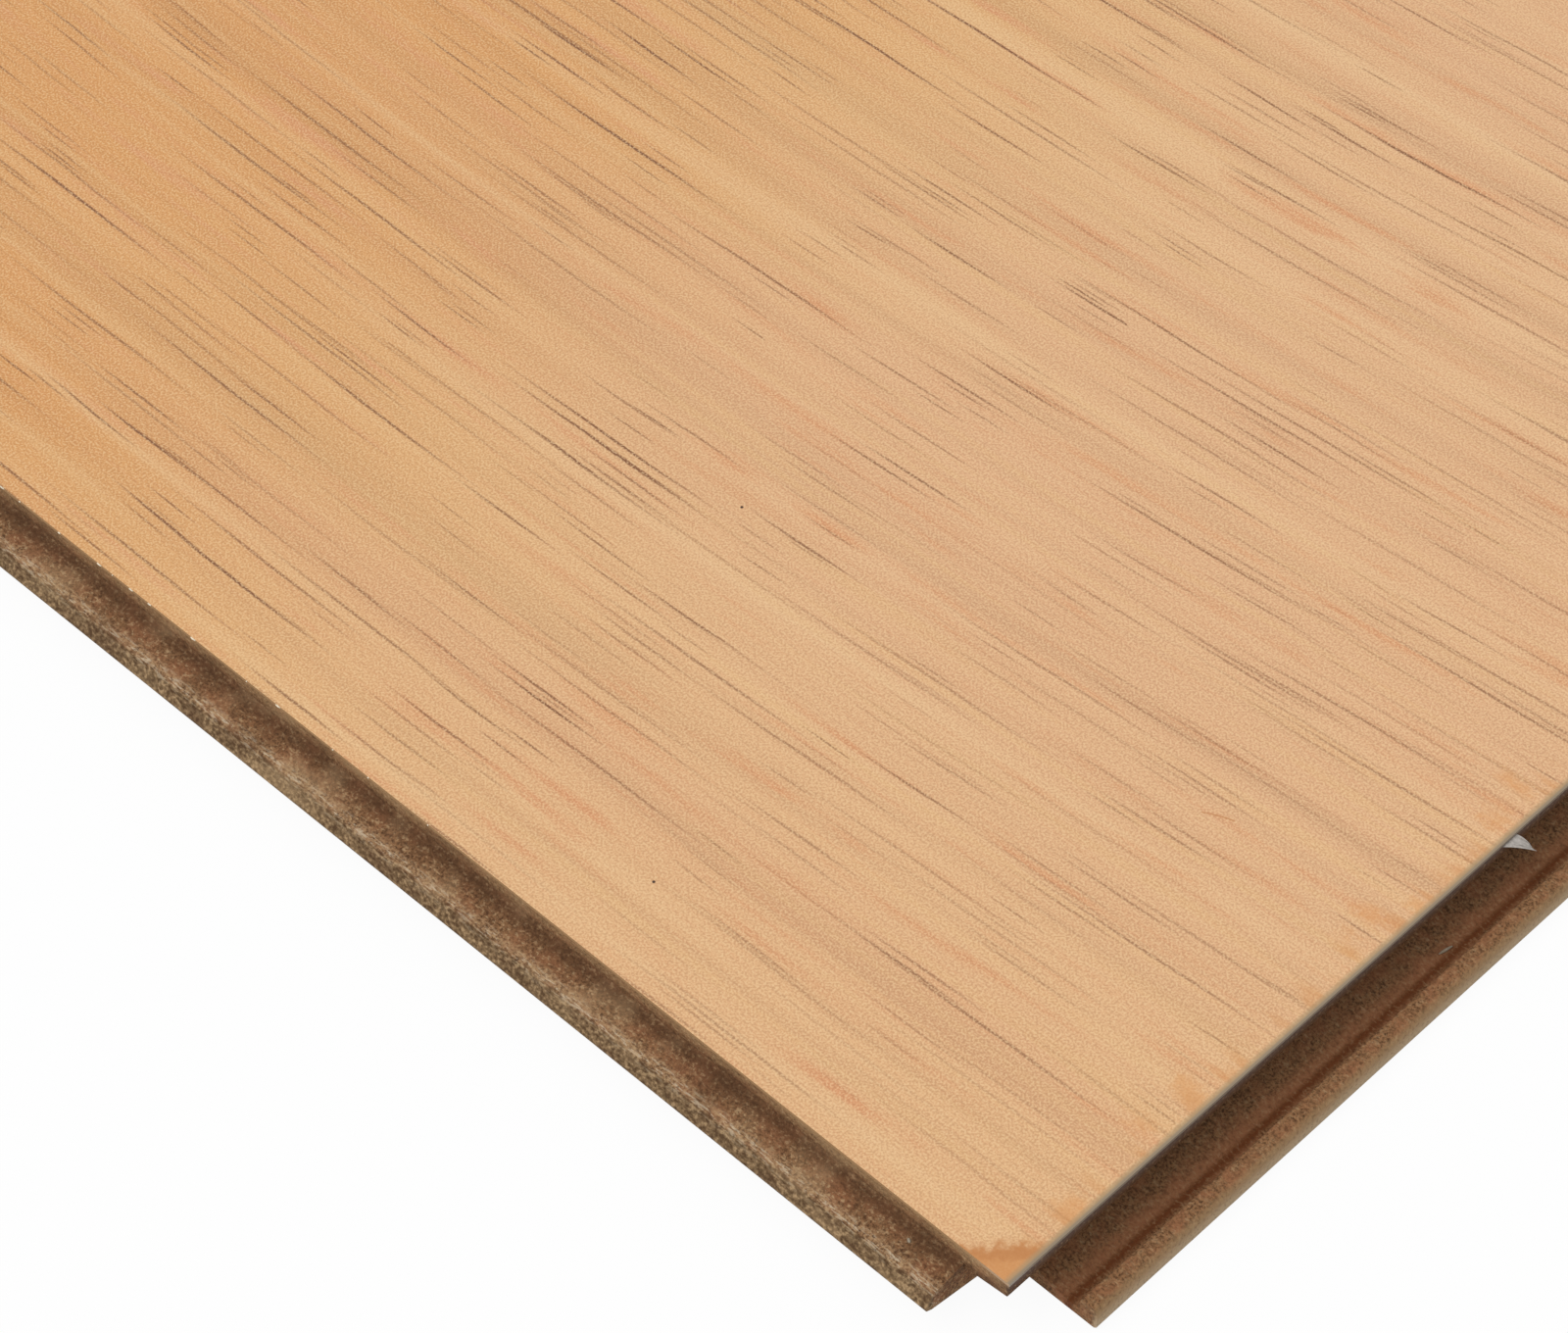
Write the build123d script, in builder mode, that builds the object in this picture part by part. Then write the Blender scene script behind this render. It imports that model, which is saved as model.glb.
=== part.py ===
# Laminate floor plank with click edges: a milled fibreboard core under a printed, sealed face.
# Millimetres. X runs along the plank, Y across it and Z up. The origin is under the middle of the
# face, on the underside. The tongues are on the -Y side and the -X end, and the locking lips are on
# the +Y side and the +X end, so that each plank locks into the next one.

import os

from build123d import *

# The size that one plank covers when it is laid
face_length = 1285.0
face_width = 192.0
thickness = 8.0
decor_thickness = 0.4

# The tongue, with heights measured down from the face and reaches out from the face's edge
tongue_reach = 5.5
tongue_root_depth = 2.3
tongue_arris_reach = 4.4
tongue_arris_depth = 3.0
tongue_tip_depth = 4.8
tongue_cove_radius = 0.4

# The lip below the groove, with heights measured up from the underside
lip_reach = 6.0
lip_root_height = 2.75
lip_channel_height = 1.2
lip_channel_start = 2.0
lip_channel_end = 3.5
ridge_height = 3.0
ridge_inner_reach = 3.9
lip_foot_chamfer = 0.3

# The edge above the groove: a short face that closes the joint, then a pocket that takes dust
joint_face_height = 1.8
dust_pocket = 0.2

# Running room between a tongue and the groove it goes into
joint_clearance = 0.1
groove_end_clearance = 0.2

# How far the cutters reach past the blank
cutter_margin = 2.0

# Roundings of the milled corners
edge_radius = 0.15
ridge_inner_radius = 0.35
ridge_outer_radius = 0.9
nose_radius = 0.5
tongue_arris_radius = 0.8

core_top = thickness - decor_thickness
groove_depth = tongue_reach + groove_end_clearance
slot_end = lip_reach + groove_end_clearance
slot_roof = ridge_height + joint_clearance
lip_fall = (lip_root_height - lip_channel_height) / (groove_depth + lip_channel_start)
tongue_base_height = lip_root_height - lip_fall * (groove_depth - tongue_arris_reach) + joint_clearance
tongue_arris_height = thickness - tongue_arris_depth
tongue_root_height = thickness - tongue_root_depth


def tongue_waste(edge):
    # What is milled away round a tongue: the tongue's own corners from the underside up, each with its
    # rounding, and then a way back outside the blank. The face's edge is at -edge and the tongue points
    # towards -X. Its underside slopes down to a rib, and behind the rib is the slot for the next plank's
    # lip.
    rib_foot = lip_channel_height + joint_clearance
    rib_inner = lip_channel_end - joint_clearance
    slot_start = ridge_inner_reach - joint_clearance
    return [
        ((-edge + slot_end, -cutter_margin), 0),
        ((-edge + slot_end, slot_roof), edge_radius),
        ((-edge + slot_start, slot_roof), edge_radius),
        ((-edge + rib_inner, rib_foot), edge_radius),
        ((-edge + lip_channel_start, rib_foot), edge_radius),
        ((-edge - tongue_arris_reach, tongue_base_height), nose_radius),
        ((-edge - tongue_reach, thickness - tongue_tip_depth), nose_radius),
        ((-edge - tongue_arris_reach, tongue_arris_height), tongue_arris_radius),
        ((-edge, tongue_root_height), tongue_cove_radius),
        ((-edge, thickness), 0),
        ((-edge - tongue_reach - cutter_margin, thickness), 0),
        ((-edge - tongue_reach - cutter_margin, -cutter_margin), 0),
    ]


def lip_waste(edge):
    # What is milled away over a lip and out of the groove behind it: the corners from the face down,
    # each with its rounding, and then a way back outside the blank. The face's edge is at edge and the
    # lip points towards +X, with a floor that falls to a channel inside the ridge.
    roof_mouth = tongue_root_height + joint_clearance
    roof_end = tongue_arris_height + joint_clearance
    return [
        ((edge, thickness), 0),
        ((edge, thickness - joint_face_height), edge_radius),
        ((edge - dust_pocket, roof_mouth), edge_radius),
        ((edge - groove_depth, roof_end), nose_radius),
        ((edge - groove_depth, lip_root_height), nose_radius),
        ((edge + lip_channel_start, lip_channel_height), edge_radius),
        ((edge + lip_channel_end, lip_channel_height), edge_radius),
        ((edge + ridge_inner_reach, ridge_height), ridge_inner_radius),
        ((edge + lip_reach, ridge_height), ridge_outer_radius),
        ((edge + lip_reach, lip_foot_chamfer), 0),
        ((edge + lip_reach - lip_foot_chamfer - cutter_margin, -cutter_margin), 0),
        ((edge + lip_reach + cutter_margin, -cutter_margin), 0),
        ((edge + lip_reach + cutter_margin, thickness), 0),
    ]


# The core starts as a sawn blank with room for a tongue and a lip each way. One pair of cutters runs
# along its sides and another across its ends. Where a tongue meets a lip at a corner, the tongue is cut
# off at the groove, and a notch takes the lip back to the slot and the rib back to the groove.
blank_reach = tongue_reach + lip_reach
blank_shift = (lip_reach - tongue_reach) / 2
side_run = face_length / 2 + lip_reach + cutter_margin
end_run = face_width / 2 + lip_reach + cutter_margin
with BuildPart() as hdf_core:
    with Locations((blank_shift, blank_shift, core_top / 2)):
        Box(face_length + blank_reach, face_width + blank_reach, core_top)
    for plane, span, run in ((Plane.YZ, face_width, side_run), (Plane.XZ, face_length, end_run)):
        with BuildSketch(plane.offset(-run)):
            for corners in (tongue_waste(span / 2), lip_waste(span / 2)):
                with BuildLine():
                    FilletPolyline(
                        [point for point, radius in corners],
                        radius=[radius for point, radius in corners],
                        close=True,
                    )
                make_face()
        extrude(amount=2 * run, mode=Mode.SUBTRACT)
    for inset, roof in ((0, thickness), (slot_end, slot_roof)):
        with BuildSketch():
            with Locations((face_length / 2 - groove_depth, -face_width / 2 + inset)):
                Rectangle(side_run, end_run, align=(Align.MIN, Align.MAX))
            with Locations((-face_length / 2 + inset, face_width / 2 - groove_depth)):
                Rectangle(side_run, end_run, align=(Align.MAX, Align.MIN))
        extrude(amount=roof, mode=Mode.SUBTRACT)

# The face is one thin sheet of decor paper and clear overlay, pressed onto the core and trimmed with it.
with BuildPart() as decor_face:
    with BuildSketch(Plane.XY.offset(core_top)):
        Rectangle(face_length, face_width)
    extrude(amount=decor_thickness)

hdf_core.part.label = "hdf_core"
decor_face.part.label = "decor_face"

os.makedirs("parts", exist_ok=True)
export_step(hdf_core.part, "parts/hdf_core.step")
export_step(decor_face.part, "parts/decor_face.step")
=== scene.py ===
import math

import bmesh
import bpy
import numpy as np
from mathutils import Matrix, Vector


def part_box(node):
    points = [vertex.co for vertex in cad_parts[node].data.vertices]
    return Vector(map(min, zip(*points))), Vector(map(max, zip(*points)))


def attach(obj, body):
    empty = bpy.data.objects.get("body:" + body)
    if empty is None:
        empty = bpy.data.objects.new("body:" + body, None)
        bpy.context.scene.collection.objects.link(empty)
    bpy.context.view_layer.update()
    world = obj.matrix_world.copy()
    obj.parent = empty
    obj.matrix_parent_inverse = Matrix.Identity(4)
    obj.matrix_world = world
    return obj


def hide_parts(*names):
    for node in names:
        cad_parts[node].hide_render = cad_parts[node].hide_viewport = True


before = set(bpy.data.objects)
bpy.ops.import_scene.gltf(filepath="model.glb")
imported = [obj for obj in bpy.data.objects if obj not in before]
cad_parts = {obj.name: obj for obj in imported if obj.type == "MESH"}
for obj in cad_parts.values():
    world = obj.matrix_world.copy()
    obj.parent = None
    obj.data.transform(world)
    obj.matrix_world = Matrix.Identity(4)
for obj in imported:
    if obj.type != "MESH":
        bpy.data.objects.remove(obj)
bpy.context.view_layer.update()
print("frame loaded:", sorted(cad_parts))

mm = 0.001
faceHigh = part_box("decor_face")[1]
halfLength = faceHigh.x / mm
halfWidth = faceHigh.y / mm
faceTop = faceHigh.z / mm


def tint(red, green, blue):
    # a screen colour of 0 to 255 as the linear colour that a shader takes
    screen = np.array([red, green, blue]) / 255
    linear = np.where(screen <= 0.04045, screen / 12.92, ((screen + 0.055) / 1.055) ** 2.4)
    return (*linear, 1.0)


class Wire:
    # one socket in a material's node tree; sums and products of wires add Math nodes
    def __init__(self, tree, socket=None):
        self.tree = tree
        self.socket = socket

    def node(self, kind, settings=None, sockets=None, output=0):
        # adds one node: its settings first, then a value or a link for each socket by name or number
        made = self.tree.nodes.new("ShaderNode" + kind)
        for name, value in (settings or {}).items():
            setattr(made, name, value)
        for name, value in (sockets or {}).items():
            if isinstance(value, Wire):
                self.tree.links.new(value.socket, made.inputs[name])
            else:
                made.inputs[name].default_value = value
        return Wire(self.tree, made.outputs[output])

    def math(self, operation, first, second=0.0):
        return self.node("Math", {"operation": operation}, {0: first, 1: second})

    def __add__(self, other):
        return self.math("ADD", self, other)

    def __radd__(self, other):
        return self.math("ADD", other, self)

    def __sub__(self, other):
        return self.math("SUBTRACT", self, other)

    def __rsub__(self, other):
        return self.math("SUBTRACT", other, self)

    def __mul__(self, other):
        return self.math("MULTIPLY", self, other)

    def __rmul__(self, other):
        return self.math("MULTIPLY", other, self)

    def __truediv__(self, other):
        return self.math("DIVIDE", self, other)

    def __neg__(self):
        return self.math("MULTIPLY", self, -1.0)

    def above(self, other):
        return self.math("MAXIMUM", self, other)

    def below(self, other):
        return self.math("MINIMUM", self, other)

    def cosine(self):
        return self.math("COSINE", self)

    def rise(self, low, high):
        # 0 up to low, 1 from high on and an S between them; low above high turns it round
        turned = low > high
        ends = {"From Min": min(low, high), "From Max": max(low, high)}
        ends.update({"To Min": 1.0, "To Max": 0.0} if turned else {"To Min": 0.0, "To Max": 1.0})
        return self.node("MapRange", {"interpolation_type": "SMOOTHSTEP"}, {"Value": self, **ends})

    def band(self, middle, reach):
        # 1 at the middle, falling to 0 at that reach either way
        away = self.math("ABSOLUTE", self - middle)
        return away.rise(reach, 0.0)

    def blend(self, first, second):
        # the first colour where this wire is 0 and the second where it is 1
        return self.node("Mix", {"data_type": "RGBA"}, {0: self, 6: first, 7: second}, output=2)

    def vector(self, x, y, z=0.0):
        return self.node("CombineXYZ", None, {0: x, 1: y, 2: z})

    def distance(self, x, y, spotX, spotY):
        # how far the point x, y is from a spot
        ends = {0: self.vector(x, y), 1: (spotX, spotY, 0.0)}
        return self.node("VectorMath", {"operation": "DISTANCE"}, ends, output="Value")

    def facing(self):
        # 1 where the surface faces up, 0 where it is upright and -1 where it faces down
        return self.node("SeparateXYZ", None, {0: self.node("NewGeometry", output="Normal")}, output=2)

    def noise(self, x, y, z=0.0, detail=2.0, roughness=0.5):
        sockets = {"Vector": self.vector(x, y, z), "Scale": 1.0, "Detail": detail, "Roughness": roughness}
        return self.node("TexNoise", {"noise_dimensions": "3D"}, sockets)


def newMaterial(name):
    # a material with one Principled shader; gives the material, the shader, a first wire and x, y, z in mm
    made = bpy.data.materials.new(name)
    made.use_nodes = True
    tree = made.node_tree
    shader = tree.nodes["Principled BSDF"]
    wire = Wire(tree)
    place = wire.node("TexCoord", output="Object")
    place = wire.node("VectorMath", {"operation": "SCALE"}, {0: place, "Scale": 1 / mm})
    xyz = [wire.node("SeparateXYZ", None, {0: place}, output=axis) for axis in range(3)]
    return made, shader, wire, xyz


def join(wire, shader, name):
    wire.tree.links.new(wire.socket, shader.inputs[name])


def roughen(heights, shader, look):
    # bumps of the look's own strength and height
    sockets = {"Height": heights, "Strength": look["bumpStrength"], "Distance": look["bumpHeight"] * mm}
    join(heights.node("Bump", None, sockets), shader, "Normal")


def wear(obj, material):
    # gives a piece one material and no other
    obj.data.materials.clear()
    obj.data.materials.append(material)


# Printed face
printLook = {
    "ground": tint(224, 172, 121),
    "yellow": tint(231, 185, 129),
    "salmon": tint(222, 156, 108),
    "paleToneAndSheen": tint(231, 182, 139),
    "amber": tint(222, 158, 92),
    "gleam": tint(246, 212, 162),
    "pore": tint(134, 84, 50),
    "rust": tint(190, 122, 66),
    "amberStain": tint(210, 142, 78),
    "orange": tint(222, 156, 92),
    "tongueEdge": tint(172, 136, 96),
    "lipEdgeShaded": tint(140, 126, 110),
    "rim": tint(172, 145, 107),
    "rimEnd": tint(150, 132, 108),
    "speck": tint(70, 45, 30),
    "roughness": 0.42,
    "bumpStrength": 0.25,
    "bumpHeight": 0.1,  # mm
    "specks": ((554.2, -42.0), (584.1, -85.2)),  # mm, dark dots in the print
    "speckRadius": 0.22,
    "hair": {  # mm: its ends along the plank, its start across it, its curve, its width and its fading ends
        "start": 617.6, "end": 621.1, "y": -39.7, "slope": 0.62, "bend": -0.045, "reach": 0.18, "fade": 0.2,
    },
    "toneWave": 470.0,  # mm along the plank between one amber stretch and the next
    "bend": {"height": 3.0, "wave": 330.0, "low": 535.0, "tilt": 0.015},  # mm, the grain's long waves
    # glue stains near the lip end: mm along, across and round
    "stains": ((639.0, -15.0, 2.6), (640.0, -19.0, 2.4), (641.5, -33.5, 1.6), (638.5, -38.0, 2.2),
               (639.0, -42.5, 1.8), (639.5, -67.0, 2.2), (639.0, -73.5, 1.8), (641.2, -85.5, 2.2)),
    # pores: mm between them along and across the grain, their size in those cells, how many cells have one
    "longPores": {"run": 110.0, "pitch": 1.6, "radius": 0.19, "share": 0.9, "seed": 3.1},
    "middlePores": {"run": 55.0, "pitch": 1.4, "radius": 0.19, "share": 0.7, "seed": 11.7},
    "shortPores": {"run": 26.0, "pitch": 1.1, "radius": 0.2, "share": 0.3, "seed": 23.3},
}


def pores(wire, x, grain, kind):
    # Pores as long thin ellipses: in space squeezed by run along X and by pitch across it, a pore is
    # the disc round each cell's point, and only the given share of the cells has one.
    squeezed = wire.vector(x / kind["run"] + kind["seed"], grain / kind["pitch"] + kind["seed"])
    settings = {"voronoi_dimensions": "2D"}
    sockets = {"Vector": squeezed, "Scale": 1.0, "Randomness": 1.0}
    away = wire.node("TexVoronoi", settings, sockets, output="Distance")
    lots = wire.node("TexVoronoi", settings, sockets, output="Color")
    drawn = wire.node("SeparateColor", None, {0: lots}, output=0)
    present = drawn.rise(1.0 - kind["share"], 1.0 - kind["share"] * 0.8)
    strength = wire.node("SeparateColor", None, {0: lots}, output=1) * 0.7 + 0.3
    return away.rise(kind["radius"], kind["radius"] * 0.15) * present * strength


def printMaterial():
    made, shader, wire, (x, y, z) = newMaterial("printedOak")
    # lines of the grain: the way across the plank, less a long wave that is weak by the tongue, with a
    # slow sway and a quick wiggle
    bend = printLook["bend"]
    past = x - bend["low"]
    crest = (past * (2 * math.pi / bend["wave"])).cosine() * -bend["height"] + past * bend["tilt"]
    sway = (wire.noise(x / 170, y / 45, 3.0) - 0.5) * 4.0
    wiggle = (wire.noise(x / 20, y / 7, 7.0) - 0.5) * 0.8
    grain = y - crest * (y.rise(-100.0, -30.0) * 0.85 + 0.15) + sway + wiggle

    # noises, each with its length in mm along the grain and across it
    broad = wire.noise(x / 330, grain / 20, 1.0, detail=3.0)
    streak = wire.noise(x / 75, grain / 2.0, 2.0, detail=4.0)
    patch = wire.noise(x / 16, grain / 2.4, 8.0, detail=3.0)
    fibre = wire.noise(x / 14, grain / 0.35, 4.0)
    grit = wire.noise(x / 0.25, y / 0.25, 5.0, detail=1.0)
    stripe = wire.noise(x / 300, grain / 5.0, 12.0, detail=3.0)

    # ground colour from pale to amber and back along the plank, pale at the lip end partly as painted sheen,
    # then stripes, streaks and fibres
    colour = broad.rise(0.38, 0.62).blend(printLook["yellow"], printLook["ground"])
    toEnd = halfLength - x
    drift = (wire.noise(x / 420, grain / 24, 15.0) - 0.5) * toEnd.rise(100.0, 420.0) * 1100.0
    phase = ((broad - 0.5) * 60.0 + drift - toEnd) * (2 * math.pi / printLook["toneWave"])
    wave = phase.cosine()  # 1 at the lip end, -1 half a wave along, then in lenses
    colour = (wave.rise(0.5, -1.0) * 0.9 + y.rise(-40.0, -95.0) * 0.15).blend(colour, printLook["amber"])
    # pale where the wave is high: a print tone along the plank, and at the lip end also painted sheen
    colour = (wave.rise(-0.4, 0.7) * (0.75 - y.rise(-20.0, -95.0) * 0.3)).blend(colour, printLook["paleToneAndSheen"])
    colour = (stripe.rise(0.45, 0.75) * 0.2).blend(colour, printLook["pore"])
    colour = (stripe.rise(0.5, 0.2) * 0.35).blend(colour, printLook["gleam"])
    colour = (streak.rise(0.48, 0.7) * patch.rise(0.42, 0.65) * 0.9).blend(colour, printLook["salmon"])
    colour = (streak.rise(0.48, 0.3) * 0.45).blend(colour, printLook["yellow"])
    colour = (fibre.rise(0.5, 0.8) * 0.3).blend(colour, printLook["salmon"])

    # dark pores, deeper where they crowd and away from the end, broken up by grit
    crowd = wire.noise(x / 190, grain / 12, 9.0).rise(0.36, 0.6)
    dark = pores(wire, x, grain, printLook["longPores"])
    dark = dark.above(pores(wire, x, grain, printLook["middlePores"]))
    dark = dark.above(pores(wire, x, grain, printLook["shortPores"]) * 0.8)
    dark = dark * (crowd * 0.4 + 0.4 + toEnd.rise(10.0, 110.0) * 0.35) * (grit.rise(0.85, 0.4) * 0.4 + 0.6)
    colour = dark.blend(colour, printLook["pore"])
    colour = (grit.rise(0.48, 0.66) * 0.45).blend(colour, printLook["gleam"])
    colour = (grit.rise(0.52, 0.34) * 0.22).blend(colour, printLook["pore"])

    # stains of glue near the lip end and over its corner
    toSide = y + halfWidth
    ragged = (wire.noise(x / 3, y / 3, 6.0, detail=3.0) - 0.5) * 4.0
    torn = (wire.noise(x / 0.9, y / 0.9, 14.0, detail=3.0) - 0.5) * 3.0
    inward = toEnd + toSide + ragged + torn
    colour = (inward.rise(6.8, 5.6) * 0.8).blend(colour, printLook["amberStain"])
    colour = (inward.band(5.4, 2.4) * 0.6).blend(colour, printLook["rust"])
    stain = 0.0 * x
    for spotX, spotY, radius in printLook["stains"]:
        away = wire.distance(spotX + (x - spotX) * 0.7 + ragged + torn, y - ragged + torn, spotX, spotY)
        stain = stain.above(away.rise(radius, 0.0))
    colour = (stain * patch.rise(0.3, 0.6) * 0.6).blend(colour, printLook["orange"])
    frayed = toEnd.rise(5.0, 0.6) * wire.noise(x / 9, grain / 2.2, 1.0, detail=3.0).rise(0.48, 0.64)
    colour = (frayed * 0.5).blend(colour, printLook["amberStain"])

    # two dark specks and a curved hair
    radius = printLook["speckRadius"]
    for spotX, spotY in printLook["specks"]:
        away = wire.distance(x, y, spotX, spotY)
        colour = away.rise(radius, radius * 0.6).blend(colour, printLook["speck"])
    hair = printLook["hair"]
    onward = x - hair["start"]
    curve = hair["y"] + onward * hair["slope"] + onward * onward * hair["bend"]
    strand = (y - curve).band(0.0, hair["reach"]) * onward.rise(0.0, hair["fade"])
    strand = strand * x.rise(hair["end"], hair["end"] - hair["fade"])
    colour = (strand * 0.8).blend(colour, printLook["rust"])

    # the worn rim over the lips, and the sheet's cut edge, painted darker on the lip sides as shade
    fromLip = toEnd.below(halfWidth - y)
    colour = (fromLip.rise(1.0, 0.4) * (patch * 0.6 + 0.45)).blend(colour, printLook["rim"])
    colour = fromLip.rise(0.45, 0.15).blend(colour, printLook["rimEnd"])
    # the cut edge on the lip sides takes a painted shadow line; on the tongue sides it keeps its own colour
    cut = fromLip.rise(0.1, 0.0).blend(printLook["tongueEdge"], printLook["lipEdgeShaded"])
    colour = wire.facing().rise(0.7, 0.4).blend(colour, cut)
    join(colour, shader, "Base Color")
    shader.inputs["Roughness"].default_value = printLook["roughness"]
    roughen(grit * 0.6 - dark * 0.5, shader, printLook)
    return made


wear(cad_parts["decor_face"], printMaterial())
print("printed face done")


# Fibreboard core
boardLook = {
    "brown": tint(154, 112, 75),
    "dark": tint(80, 52, 30),
    "channelShadeTone": tint(110, 58, 24),
    "red": tint(158, 104, 70),
    "olive": tint(162, 130, 92),
    "drab": tint(138, 112, 80),
    "moss": tint(92, 72, 46),
    "foot": tint(196, 174, 142),
    "fuzz": tint(192, 160, 120),
    "lint": tint(214, 196, 168),
    "sealed": tint(88, 72, 66),
    "backing": tint(196, 178, 150),
    "roughness": 0.85,
    "gloss": 0.25,
    "bumpStrength": 0.6,
    "bumpHeight": 0.3,  # mm
}
boardShape = {  # mm: heights above the underside, reaches out from the face's edge
    "tongueReach": 5.5,
    "tongueRoot": 5.7,
    "arrisReach": 4.4,
    "arrisHeight": 5.0,
    "tipHeight": 3.2,
    "lipReach": 6.0,
    "lipRoot": 2.75,
    "channelStart": 2.0,
    "channelEnd": 3.5,
    "channelHeight": 1.2,
    "ridgeInner": 3.9,
    "ridgeHeight": 3.0,
    "footChamfer": 0.3,
    "jointFace": 6.2,
    "pocket": 0.2,
    "room": 0.1,  # between a tongue or a lip and what it goes into
    "endRoom": 0.2,  # past the tip of either
    "edgeRadius": 0.15,
    "noseRadius": 0.5,
    "coveRadius": 0.4,
    "arrisRadius": 0.8,
    "ridgeInnerRadius": 0.35,
    "ridgeOuterRadius": 0.9,
    "margin": 2.0,  # of a cutter past a tongue or a lip
    "spare": 1.0,  # of the blank past its lips, and of the cutters past the blank
    "arcSteps": 9,
    "sharpAngle": 40.0,  # deg, edges bent more than this stay crisp
}
grooveDepth = boardShape["tongueReach"] + boardShape["endRoom"]
slotEnd = boardShape["lipReach"] + boardShape["endRoom"]
slotRoof = boardShape["ridgeHeight"] + boardShape["room"]


def tongueWaste(edge):
    # what is milled away round a tongue, from the underside up and back outside; the third number of each
    # corner is its rounding
    b = boardShape
    out = edge + b["tongueReach"] + b["margin"]
    ribFoot = b["channelHeight"] + b["room"]
    fall = (b["lipRoot"] - b["channelHeight"]) / (grooveDepth + b["channelStart"])
    base = ribFoot + fall * (b["channelStart"] + b["arrisReach"])  # slopes like the lip's floor
    return [
        (slotEnd - edge, -b["margin"], 0),
        (slotEnd - edge, slotRoof, b["edgeRadius"]),
        (b["ridgeInner"] - b["room"] - edge, slotRoof, b["edgeRadius"]),
        (b["channelEnd"] - b["room"] - edge, ribFoot, b["edgeRadius"]),
        (b["channelStart"] - edge, ribFoot, b["edgeRadius"]),
        (-edge - b["arrisReach"], base, b["noseRadius"]),
        (-edge - b["tongueReach"], b["tipHeight"], b["noseRadius"]),
        (-edge - b["arrisReach"], b["arrisHeight"], b["arrisRadius"]),
        (-edge, b["tongueRoot"], b["coveRadius"]),
        (-edge, faceTop, 0),
        (-out, faceTop, 0),
        (-out, -b["margin"], 0),
    ]


def lipWaste(edge):
    # what is milled away over a lip and out of its groove, from the face down and back outside
    b = boardShape
    tip = edge + b["lipReach"]
    return [
        (edge, faceTop, 0),
        (edge, b["jointFace"], b["edgeRadius"]),
        (edge - b["pocket"], b["tongueRoot"] + b["room"], b["edgeRadius"]),
        (edge - grooveDepth, b["arrisHeight"] + b["room"], b["noseRadius"]),
        (edge - grooveDepth, b["lipRoot"], b["noseRadius"]),
        (edge + b["channelStart"], b["channelHeight"], b["edgeRadius"]),
        (edge + b["channelEnd"], b["channelHeight"], b["edgeRadius"]),
        (edge + b["ridgeInner"], b["ridgeHeight"], b["ridgeInnerRadius"]),
        (tip, b["ridgeHeight"], b["ridgeOuterRadius"]),
        (tip, b["footChamfer"], 0),
        (tip - b["footChamfer"] - b["margin"], -b["margin"], 0),
        (tip + b["margin"], -b["margin"], 0),
        (tip + b["margin"], faceTop, 0),
    ]


def roundedOutline(corners):
    # Every corner becomes the arc that touches both its sides: the arc starts and ends radius / tan(half
    # angle) from the corner, and its centre is on the bisector, radius / sin(half angle) from it.
    corners = np.array(corners, float)
    points, radii = corners[:, :2], corners[:, 2:]
    back = np.roll(points, 1, axis=0) - points
    ahead = np.roll(points, -1, axis=0) - points
    back /= np.linalg.norm(back, axis=1, keepdims=True)
    ahead /= np.linalg.norm(ahead, axis=1, keepdims=True)
    half = np.arccos(np.clip((back * ahead).sum(1, keepdims=True), -1, 1)) / 2
    bisector = (back + ahead) / np.linalg.norm(back + ahead, axis=1, keepdims=True)
    centre = points + bisector * radii / np.sin(half)
    start = points + back * radii / np.tan(half) - centre
    end = points + ahead * radii / np.tan(half) - centre
    sweep = (np.pi - 2 * half)[:, None]
    share = np.linspace(0, 1, boardShape["arcSteps"])[None, :, None]
    turned = np.sin((1 - share) * sweep) * start[:, None] + np.sin(share * sweep) * end[:, None]
    arcs = centre[:, None] + turned / np.sin(sweep)
    keep = (radii > 0) | (np.arange(boardShape["arcSteps"]) == 0)
    return arcs[keep]


def gridMesh(name, xs, ys, zs):
    # a sheet through a grid of points given as three arrays of one shape
    rows, columns = xs.shape
    points = np.stack([xs, ys, zs], axis=-1).reshape(-1, 3)
    index = np.arange(rows * columns).reshape(rows, columns)
    quads = np.stack([index[:-1, :-1], index[1:, :-1], index[1:, 1:], index[:-1, 1:]], axis=-1).reshape(-1, 4)
    mesh = bpy.data.meshes.new(name)
    mesh.from_pydata(points.tolist(), [], quads.tolist())
    obj = bpy.data.objects.new(name, mesh)
    bpy.context.scene.collection.objects.link(obj)
    return obj


def solidFrom(name, points, faces):
    # a closed mesh with its faces turned outwards
    mesh = bpy.data.meshes.new(name)
    mesh.from_pydata(np.asarray(points).tolist(), [], faces)
    shell = bmesh.new()
    shell.from_mesh(mesh)
    bmesh.ops.recalc_face_normals(shell, faces=shell.faces)
    shell.to_mesh(mesh)
    shell.free()
    obj = bpy.data.objects.new(name, mesh)
    bpy.context.scene.collection.objects.link(obj)
    return obj


def carriedSolid(name, outline, along, low, high):
    # A closed outline of (across, height) points carried straight along X or Y, with both ends closed
    count = len(outline)
    run = np.repeat([low, high], count)
    across = np.tile(outline[:, 0], 2)
    heights = np.tile(outline[:, 1], 2)
    points = np.stack([run, across, heights] if along == "X" else [across, run, heights], axis=1) * mm
    ring = np.arange(count)
    onward = np.roll(ring, -1)
    sides = np.stack([ring, onward, onward + count, ring + count], axis=1)
    return solidFrom(name, points, sides.tolist() + [ring[::-1].tolist(), (ring + count).tolist()])


def blockSolid(name, low, high):
    # a plain block between two corners
    outline = np.array([(low[1], low[2]), (high[1], low[2]), (high[1], high[2]), (low[1], high[2])])
    return carriedSolid(name, outline, "X", low[0], high[0])


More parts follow.
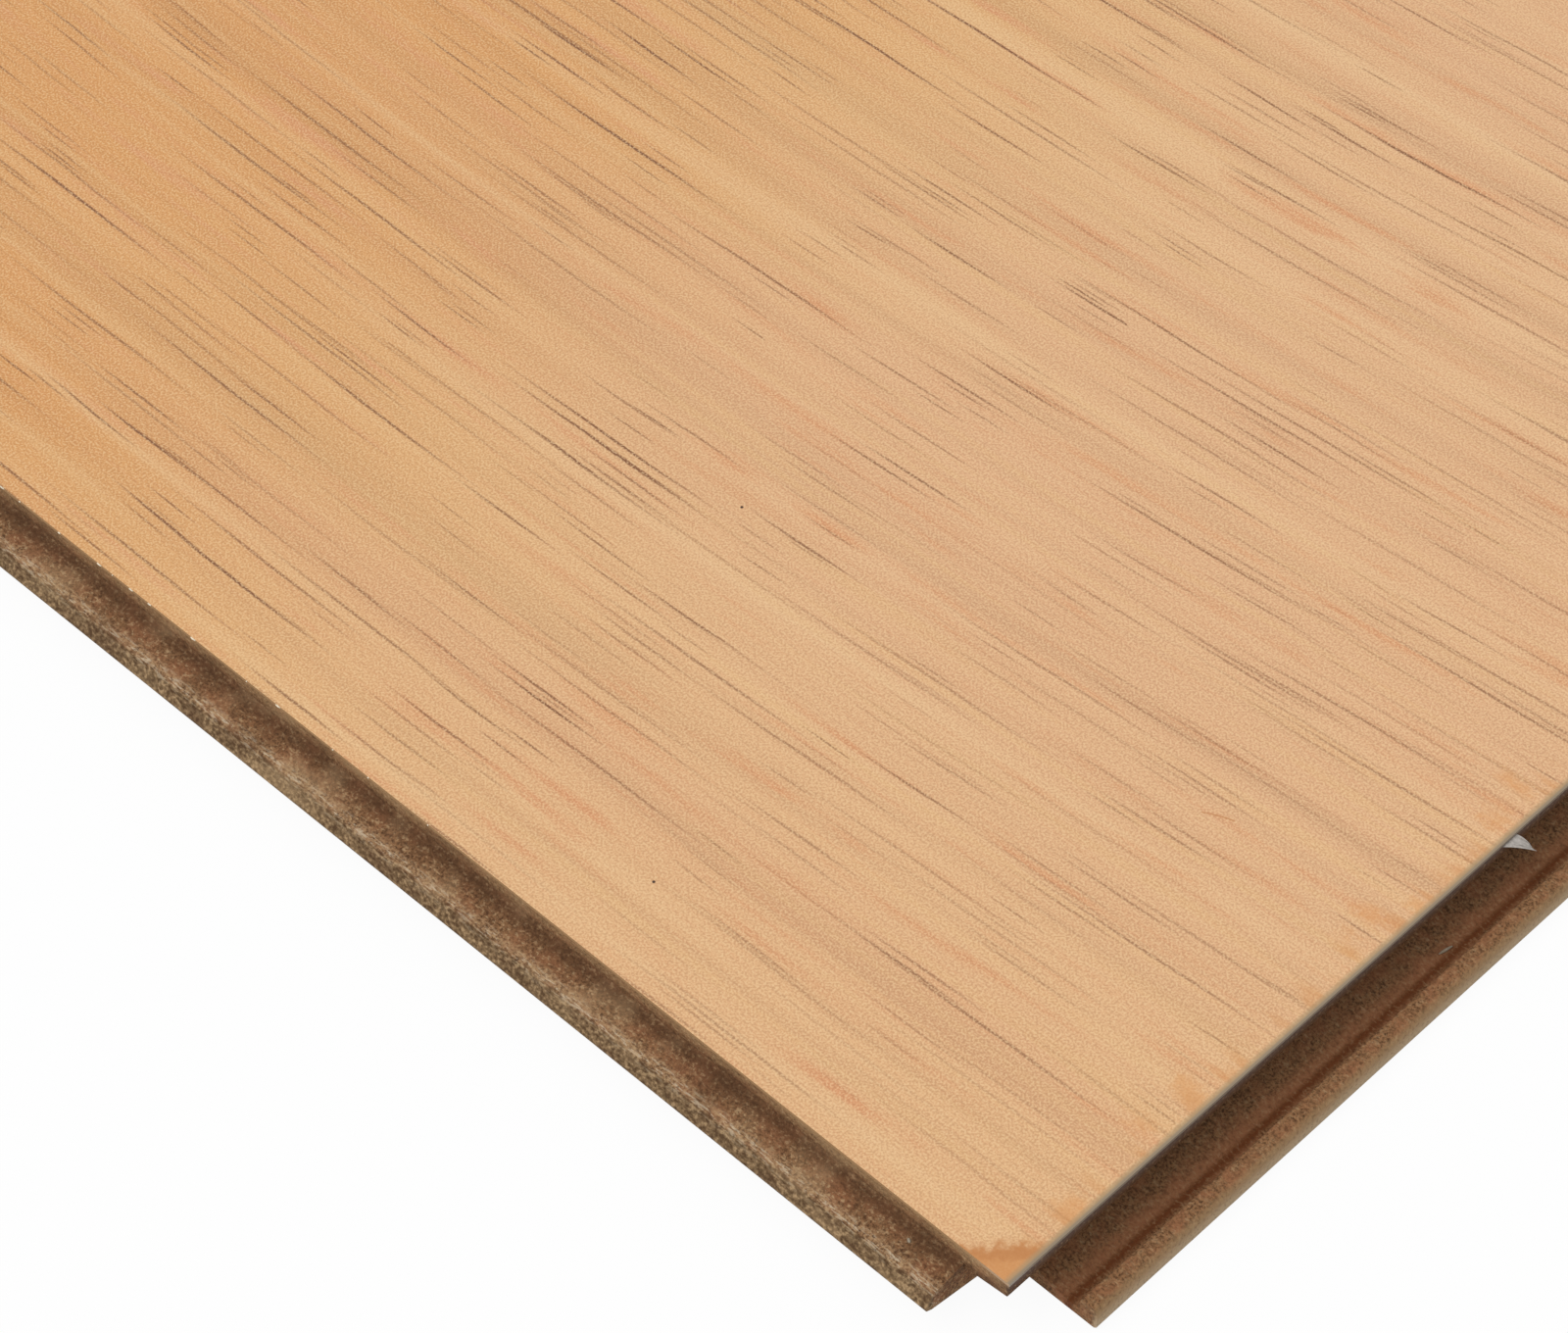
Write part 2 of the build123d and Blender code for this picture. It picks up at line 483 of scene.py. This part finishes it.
def mill(board, cutter):
    # takes the cutter's shape out of the board and throws the cutter away
    cut = board.modifiers.new("cut", "BOOLEAN")
    cut.operation = "DIFFERENCE"
    cut.solver = "EXACT"
    cut.object = cutter
    shaped = board.evaluated_get(bpy.context.evaluated_depsgraph_get())
    mesh = bpy.data.meshes.new_from_object(shaped)
    board.modifiers.clear()
    board.data = mesh
    bpy.data.objects.remove(cutter)


def buildCore():
    # a sawn blank, run past two cutters each way and notched where a tongue meets a lip
    b = boardShape
    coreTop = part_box("hdf_core")[1].z / mm
    spare = b["spare"]
    reachX = halfLength + b["lipReach"] + spare
    reachY = halfWidth + b["lipReach"] + spare
    far = b["lipReach"] + b["margin"] * 2
    core = blockSolid("milledCore", (-reachX, -reachY, 0.0), (reachX, reachY, coreTop))
    for along, edge, run in (("X", halfWidth, reachX), ("Y", halfLength, reachY)):
        for waste in (tongueWaste(edge), lipWaste(edge)):
            mill(core, carriedSolid("cutter", roundedOutline(waste), along, -run - spare, run + spare))
    for inset, roof in ((0.0, faceTop), (slotEnd, slotRoof)):
        low = (halfLength - grooveDepth, -halfWidth - far, -spare)
        mill(core, blockSolid("notch", low, (halfLength + far, inset - halfWidth, roof)))
        low = (-halfLength - far, halfWidth - grooveDepth, -spare)
        mill(core, blockSolid("notch", low, (inset - halfLength, halfWidth + far, roof)))
    core.data.polygons.foreach_set("use_smooth", np.ones(len(core.data.polygons), bool))
    core.data.set_sharp_from_angle(angle=math.radians(b["sharpAngle"]))
    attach(core, "root")
    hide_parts("hdf_core")
    return core


def boardMaterial():
    made, shader, wire, (x, y, z) = newMaterial("milledFibreboard")
    tongueOut = (-y - halfWidth).above(-x - halfLength)  # mm past the face's edge, on the tongue edges
    lipOut = (y - halfWidth).above(x - halfLength)  # and on the lip edges
    depth = faceTop - z
    fine = wire.noise(x / 0.3, y / 0.3, z / 0.3, detail=3.0, roughness=0.7)
    flock = wire.noise(x / 0.9, y / 0.5, z / 0.5)
    coarse = wire.noise(x / 2.6, y / 2.6, z / 1.5, detail=3.0)
    fleck = wire.noise(x / 0.5, y / 0.4, z / 0.4, roughness=0.6)

    # pressed fibres, the same all over
    colour = fine.rise(0.32, 0.6).blend(boardLook["dark"], boardLook["brown"])
    colour = (coarse.rise(0.42, 0.68) * 0.6).blend(colour, boardLook["red"])
    colour = (flock.rise(0.58, 0.75) * 0.45).blend(colour, boardLook["fuzz"])
    colour = (flock.rise(0.42, 0.28) * 0.45).blend(colour, boardLook["dark"])

    # the tongue from its root out: painted shade in the cove and over the flank, upright, fluffy arris,
    # mottled nose, strands of lint
    onTongue = tongueOut.rise(-0.2, 0.0)
    # painted shade in the concave corner at the tongue's root
    coveShade = tongueOut.band(0.6, 1.9) * depth.rise(4.0, 2.2) * depth.rise(1.2, 2.2)
    colour = (coveShade * 0.75).blend(colour, boardLook["dark"])
    # painted shade fading out over the flank from the cove
    flankShade = tongueOut.band(2.2, 2.2)
    colour = (flankShade * 0.22).blend(colour, boardLook["dark"])
    upright = onTongue * depth.rise(2.2, 0.9)
    colour = (upright * 0.5).blend(colour, boardLook["olive"])
    arris = tongueOut.band(3.75, 1.1) * depth.rise(4.2, 3.2)
    fluff = fine.rise(0.36, 0.6) * 0.7 + coarse.rise(0.3, 0.6) * 0.3
    colour = (arris * fluff * 0.45).blend(colour, boardLook["fuzz"])
    nose = tongueOut.rise(4.1, 4.5)
    mottled = fleck.rise(0.34, 0.62).blend(boardLook["moss"], boardLook["drab"])
    colour = (nose * 0.9).blend(colour, mottled)
    lint = wire.noise(x / 1.6, y / 0.3, z / 0.3, detail=3.0, roughness=0.7)
    colour = (tongueOut.band(3.9, 1.0) * lint.rise(0.5, 0.62) * 0.7).blend(colour, boardLook["lint"])
    colour = (tongueOut.band(4.4, 0.7) * lint.rise(0.5, 0.4) * 0.6).blend(colour, boardLook["dark"])

    # the lip from its root out: sealed joint face, red floor, painted shade in the channel by the ridge, pale
    # outer face
    joint = lipOut.rise(-0.5, -0.2) * lipOut.rise(0.3, 0.1) * depth.rise(2.6, 1.8)
    colour = (joint * 0.85).blend(colour, depth.rise(0.6, 1.6).blend(boardLook["sealed"], boardLook["dark"]))
    floor = lipOut.rise(0.1, 1.4) * lipOut.rise(2.4, 1.8)
    colour = (floor * 0.6).blend(colour, boardLook["red"])
    # painted shade where the channel runs deepest, beside the ridge
    channel = lipOut.band(2.5, 0.9)
    colour = (channel * 0.95).blend(colour, boardLook["channelShadeTone"])
    outer = lipOut.rise(5.2, 5.95)
    colour = (outer * 0.8).blend(colour, depth.rise(5.0, 7.6).blend(boardLook["olive"], boardLook["foot"]))

    # light and dark flecks and wear, the light ones held back in the cove's painted shade
    wornUnshaded = onTongue * (1.0 - coveShade)
    colour = (fleck.rise(0.53, 0.7) * (wornUnshaded * 0.35 + 0.25)).blend(colour, boardLook["fuzz"])
    colour = (fleck.rise(0.47, 0.3) * (onTongue * 0.2 + 0.4)).blend(colour, boardLook["dark"])
    patchy = wire.noise(x / 7, y / 7 + 6.0, z / 3)
    colour = (patchy.rise(0.48, 0.3) * onTongue * 0.35).blend(colour, boardLook["dark"])
    colour = (patchy.rise(0.52, 0.7) * onTongue * 0.25).blend(colour, boardLook["fuzz"])

    # smooth paper underneath
    under = wire.facing().rise(-0.9, -0.98) * z.rise(0.1, 0.05)
    colour = under.blend(colour, boardLook["backing"])

    join(colour, shader, "Base Color")
    shader.inputs["Roughness"].default_value = boardLook["roughness"]
    shader.inputs["Specular IOR Level"].default_value = boardLook["gloss"]
    roughen((fine + coarse * 0.6 + flock * 0.5) * (1.0 - under), shader, boardLook)
    return made


wear(buildCore(), boardMaterial())
print("core done")


# Scraps of torn paper and loose bits of board
scrapLook = {
    "paper": tint(190, 183, 176),
    "flake": tint(250, 238, 212),
    "husk": tint(168, 154, 132),
    "roughness": 0.8,
    "flakeAlong": (  # mm along the plank
        494.6, 497.6, 504.2, 510.8, 513.0, 516.0, 519.0, 526.0, 534.5, 539.4, 547.9, 553.3, 562.3,
    ),
    "flakeLength": 0.8,  # of the longest
    "flakeRadius": 0.11,
    "flakeHeight": 7.88,
    "bits": (  # mm: from, to and radius
        ((644.0, -32.5, 1.35), (644.4, -30.7, 1.5), 0.16),
        ((640.4, -32.6, 1.65), (641.1, -31.8, 1.7), 0.1),
        ((630.9, -97.5, 5.5), (631.4, -97.8, 5.45), 0.18),
    ),
    "flapBase": (-21.4, -19.0),  # mm across the plank
    "flapTip": -18.7,  # mm across the plank, where it leans to
    "flapLean": (0.95, 0.8),  # share of the way there, from either end of the base
    "flapSpread": 0.2,
    "flapReach": 2.6,
    "flapTaper": 0.4,  # share of the reach that is gone at the base's other end
    "flapNotches": 3,
    "flapNotch": 0.6,
    "flapTuck": 0.05,  # mm inside the face's end
    "flapTop": 7.5,
    "flapDrop": 0.7,
    "flapRipples": 4,
    "flapRipple": 0.05,
    "flapThick": 0.05,
    "flapSteps": (37, 13),
}


def spindles(name, starts, ends, radii):
    # Each bit is a ring carried along the line from its start to its end. With t from 0 to 1 along the
    # line, the ring's radius is the given one times the root of 4 t (1 - t), so it tapers both ways, and
    # it is closed just short of each tip.
    sides, steps = 7, 9
    along = np.linspace(0.02, 0.98, steps)[None, :, None, None]
    turn = (np.arange(sides) * 2 * np.pi / sides)[None, None, :, None]
    starts, ends = np.array(starts)[:, None, None, :], np.array(ends)[:, None, None, :]
    forward = (ends - starts) / np.linalg.norm(ends - starts, axis=-1, keepdims=True)
    across = np.cross(forward, [0.0, 0.0, 1.0])
    across /= np.linalg.norm(across, axis=-1, keepdims=True)
    upward = np.cross(across, forward)
    swell = np.array(radii)[:, None, None, None] * np.sqrt(4 * along * (1 - along))
    ring = np.cos(turn) * across + np.sin(turn) * upward
    points = starts + (ends - starts) * along + ring * swell
    count = len(points)
    index = np.arange(count * steps * sides).reshape(count, steps, sides)
    onward = np.roll(index, -1, axis=2)
    quads = np.stack([index[:, :-1], onward[:, :-1], onward[:, 1:], index[:, 1:]], axis=-1).reshape(-1, 4)
    caps = np.concatenate([index[:, 0, ::-1], index[:, -1]])
    return solidFrom(name, points.reshape(-1, 3) * mm, quads.tolist() + caps.tolist())


def buildFlap():
    # A fan of torn paper: s runs along its base and t outwards, both from 0 to 1. The reach falls evenly
    # with s, and notches take up to flapNotch off it as half of 1 - cos(2 pi s times their number). With t
    # the sheet leans towards the tip beside the base's other end, droops with t squared, and ripples with
    # t times cos(2 pi s times the number of ripples).
    f = scrapLook
    s, t = np.meshgrid(*[np.linspace(0.0, 1.0, steps) for steps in f["flapSteps"]], indexing="ij")
    notches = 0.5 - 0.5 * np.cos(2 * np.pi * f["flapNotches"] * s)
    ripples = np.cos(2 * np.pi * f["flapRipples"] * s)
    reach = f["flapReach"] * (1 - f["flapTaper"] * s) - f["flapNotch"] * notches
    base = f["flapBase"][0] + (f["flapBase"][1] - f["flapBase"][0]) * s
    lean = f["flapLean"][0] + (f["flapLean"][1] - f["flapLean"][0]) * s
    xs = halfLength - f["flapTuck"] + reach * t
    ys = base + (f["flapTip"] - base) * lean * t + f["flapSpread"] * s * t
    zs = f["flapTop"] - f["flapDrop"] * t**2 + f["flapRipple"] * ripples * t
    flap = gridMesh("tornPaper", xs * mm, ys * mm, zs * mm)
    thick = flap.modifiers.new("thickness", "SOLIDIFY")
    thick.thickness = f["flapThick"] * mm
    thick.offset = -1.0
    flap.data.polygons.foreach_set("use_smooth", np.ones(len(flap.data.polygons), bool))
    return flap


def scrapMaterial(name):
    # a plain colour of scrapLook, mottled with a darker one
    colour = scrapLook[name]
    made, shader, wire, (x, y, z) = newMaterial(name)
    mottle = wire.noise(x / 0.3, y / 0.3, z / 0.3).rise(0.3, 0.7)
    darker = tuple(part * 0.75 for part in colour[:3]) + (1.0,)
    join(mottle.blend(darker, colour), shader, "Base Color")
    shader.inputs["Roughness"].default_value = scrapLook["roughness"]
    return made


def buildScraps():
    # flakes of differing lengths along the face's tongue edge, torn paper at its lip end, and loose bits
    along = np.array(scrapLook["flakeAlong"])
    length = scrapLook["flakeLength"] * (0.6 + 0.4 * np.cos(along * 7.0))
    level = np.zeros_like(along)
    place = np.stack([along, level - halfWidth, level + scrapLook["flakeHeight"]], axis=1)
    half = np.stack([length / 2, level, level], axis=1)
    flakes = spindles("edgeFlakes", place - half, place + half, level + scrapLook["flakeRadius"])
    bits = spindles("looseBits", *zip(*scrapLook["bits"]))
    for piece, slot, material in (
        (flakes, "decor", "flake"),
        (buildFlap(), "decor", "paper"),
        (bits, "fibreboard", "husk"),
    ):
        wear(piece, scrapMaterial(material))
        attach(piece, "root")


buildScraps()
print("scraps done")


# Stage, light and camera
stageLook = {
    "floorSize": 8.0,  # m
    "floorDrop": 0.0001,  # m below the plank
    "floorTone": (0.9, 0.9, 0.9, 1.0),
    "white": (1.0, 1.0, 1.0, 1.0),
    "shadowShare": 0.06,  # how much of the floor's own shading the camera sees
    "sky": 0.62,  # strength of the sky as light; the camera sees it at 1
    "keyPower": 1.25,
    "keyAngle": 40.0,  # deg across, for soft shadows
    "keyTurn": (28.0, -18.0, 0.0),  # deg
}
cameraLook = {
    "frameWide": 1600,  # px
    "focal": 4800.0,  # px
    "sensor": 36.0,  # mm
    "azimuth": 46.19,  # deg from +X towards -Y
    "elevation": 48.85,
    "roll": 0.39,
    "target": (573.41, -55.26),  # mm on the face, in the middle of the frame
    "distance": 494.35,  # mm
    "clipStart": 0.01,  # m
}


def buildStage():
    # a white floor that the camera sees almost without shadow, an even white sky and one soft sun
    half = stageLook["floorSize"] / 2
    xs, ys = np.meshgrid([-half, half], [-half, half], indexing="ij")
    floor = gridMesh("floor", xs, ys, np.full_like(xs, -stageLook["floorDrop"]))
    made = bpy.data.materials.new("whiteFloor")
    made.use_nodes = True
    wire = Wire(made.node_tree)
    shader = made.node_tree.nodes["Principled BSDF"]
    shader.inputs["Base Color"].default_value = stageLook["floorTone"]
    shader.inputs["Roughness"].default_value = 1.0
    shader.inputs["Specular IOR Level"].default_value = 0.0
    seen = [wire.node("LightPath", output=name) for name in
            ("Is Camera Ray", "Is Glossy Ray", "Is Transmission Ray")]
    share = seen[0].above(seen[1]).above(seen[2]) * (1.0 - stageLook["shadowShare"])
    glow = wire.node("Emission", None, {"Color": stageLook["white"], "Strength": 1.0})
    mixed = wire.node("MixShader", None, {0: share, 1: Wire(wire.tree, shader.outputs[0]), 2: glow})
    wire.tree.links.new(mixed.socket, wire.tree.nodes["Material Output"].inputs["Surface"])
    wear(floor, made)

    world = bpy.data.worlds.new("studio")
    bpy.context.scene.world = world
    world.use_nodes = True
    wire = Wire(world.node_tree)
    background = world.node_tree.nodes["Background"]
    background.inputs["Color"].default_value = stageLook["white"]
    strength = wire.node("LightPath", output="Is Camera Ray") * (1.0 - stageLook["sky"])
    join(strength + stageLook["sky"], background, "Strength")

    key = bpy.data.lights.new("key", "SUN")
    key.energy = stageLook["keyPower"]
    key.angle = math.radians(stageLook["keyAngle"])
    lamp = bpy.data.objects.new("key", key)
    lamp.rotation_euler = [math.radians(angle) for angle in stageLook["keyTurn"]]
    bpy.context.scene.collection.objects.link(lamp)
    bpy.context.scene.view_settings.view_transform = "Standard"


def buildCamera():
    # looks at the target from its azimuth and elevation, turned by the roll about its own axis
    turn = math.radians(cameraLook["azimuth"])
    lift = math.radians(cameraLook["elevation"])
    roll = math.radians(cameraLook["roll"])
    back = Vector((math.cos(lift) * math.cos(turn), -math.cos(lift) * math.sin(turn), math.sin(lift)))
    right = Vector((math.sin(turn), math.cos(turn), 0.0))
    up = back.cross(right)
    rolledRight = right * math.cos(roll) + up * math.sin(roll)
    rolledUp = up * math.cos(roll) - right * math.sin(roll)
    target = Vector((*cameraLook["target"], faceTop)) * mm
    data = bpy.data.cameras.new("camera")
    data.sensor_width = cameraLook["sensor"]
    data.lens = cameraLook["sensor"] * cameraLook["focal"] / cameraLook["frameWide"]
    data.clip_start = cameraLook["clipStart"]
    camera = bpy.data.objects.new("camera", data)
    turnMatrix = Matrix((rolledRight, rolledUp, back)).transposed().to_4x4()
    camera.matrix_world = Matrix.Translation(target + back * cameraLook["distance"] * mm) @ turnMatrix
    bpy.context.scene.collection.objects.link(camera)
    bpy.context.scene.camera = camera


buildStage()
buildCamera()
print("stage, light and camera done")
